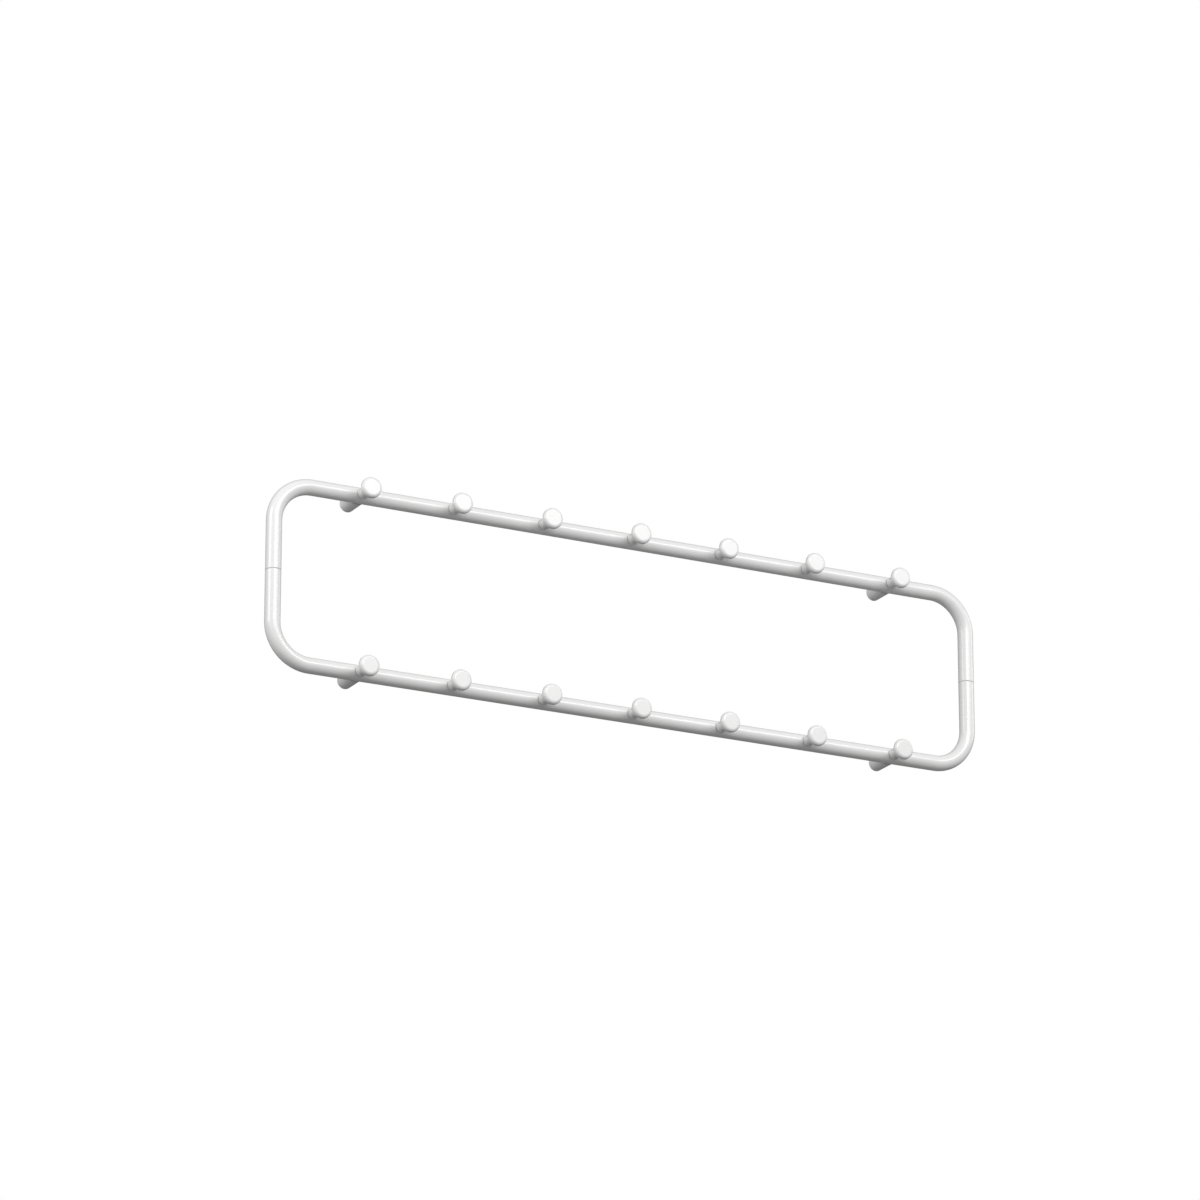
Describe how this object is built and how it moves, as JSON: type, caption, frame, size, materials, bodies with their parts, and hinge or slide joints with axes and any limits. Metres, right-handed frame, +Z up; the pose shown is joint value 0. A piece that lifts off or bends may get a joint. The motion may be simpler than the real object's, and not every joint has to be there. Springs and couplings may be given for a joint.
{
  "type": "wall coat rack",
  "caption": "Wall coat rack: a long rounded frame of bent tube on short stand-offs, with rows of turned flat-faced knobs on both rails for hanging coats.",
  "frame": {"origin": "middle of the wall-fixing pattern, on the wall plane that the stand-offs' back faces lie in", "axes": "+X along the rails to the right, seen from the front; +Y into the wall; +Z up. The knobs point along -Y"},
  "size_m": [0.6, 0.0455, 0.154],
  "materials": {
    "white_coat": "smooth white powder coat with a soft sheen",
    "plain_steel": "bright zinc-plated steel, out of sight"
  },
  "bodies": {
    "root": {"upper_frame_tube": "white_coat", "lower_frame_tube": "white_coat", "knob_upper_1": "white_coat", "knob_upper_2": "white_coat", "knob_upper_3": "white_coat", "knob_upper_4": "white_coat", "knob_upper_5": "white_coat", "knob_upper_6": "white_coat", "knob_upper_7": "white_coat", "knob_lower_1": "white_coat", "knob_lower_2": "white_coat", "knob_lower_3": "white_coat", "knob_lower_4": "white_coat", "knob_lower_5": "white_coat", "knob_lower_6": "white_coat", "knob_lower_7": "white_coat", "standoff_upper_left": "white_coat", "standoff_upper_right": "white_coat", "standoff_lower_left": "white_coat", "standoff_lower_right": "white_coat", "joint_spigot_left": "plain_steel", "joint_spigot_right": "plain_steel", "knob_studs": "plain_steel", "standoff_studs": "plain_steel"}
  },
  "joints": []
}
